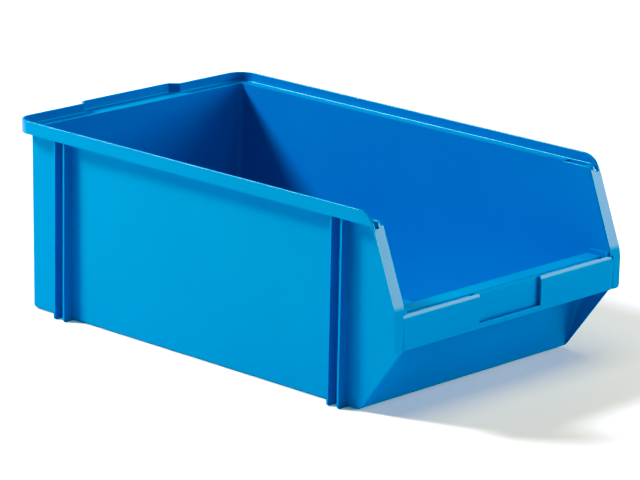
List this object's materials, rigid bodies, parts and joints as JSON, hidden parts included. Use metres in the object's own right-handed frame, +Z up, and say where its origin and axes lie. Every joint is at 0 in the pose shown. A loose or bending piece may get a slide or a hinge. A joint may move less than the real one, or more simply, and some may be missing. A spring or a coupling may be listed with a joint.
{
  "type": "stacking storage bin",
  "caption": "Open-fronted stacking bin moulded in blue plastic, with a leaning low front and label holder, rims round the top with stacking ledges, and upright guide fins outside.",
  "frame": {"origin": "centre of the bounding box in X and Y, on the underside of the floor", "axes": "+X across the bin towards its right side as seen by someone standing at the picking front, +Y from the picking front to the back, +Z up"},
  "size_m": [0.31, 0.51, 0.19],
  "materials": {
    "bin_plastic": "satin blue polypropylene"
  },
  "bodies": {
    "root": {"floor_panel": "bin_plastic", "back_wall": "bin_plastic", "front_wall": "bin_plastic", "front_bar": "bin_plastic", "holder_shelf": "bin_plastic", "label_window_panel": "bin_plastic", "label_sill": "bin_plastic", "hanging_lip": "bin_plastic", "back_ledge": "bin_plastic", "left_wall": "bin_plastic", "label_plate_left": "bin_plastic", "left_post": "bin_plastic", "left_rim": "bin_plastic", "back_rim_left": "bin_plastic", "left_ledge": "bin_plastic", "left_fin_1": "bin_plastic", "left_fin_2": "bin_plastic", "left_fin_3": "bin_plastic", "left_fin_4": "bin_plastic", "right_wall": "bin_plastic", "label_plate_right": "bin_plastic", "right_post": "bin_plastic", "right_rim": "bin_plastic", "back_rim_right": "bin_plastic", "right_ledge": "bin_plastic", "right_fin_1": "bin_plastic", "right_fin_2": "bin_plastic", "right_fin_3": "bin_plastic", "right_fin_4": "bin_plastic"}
  },
  "joints": []
}
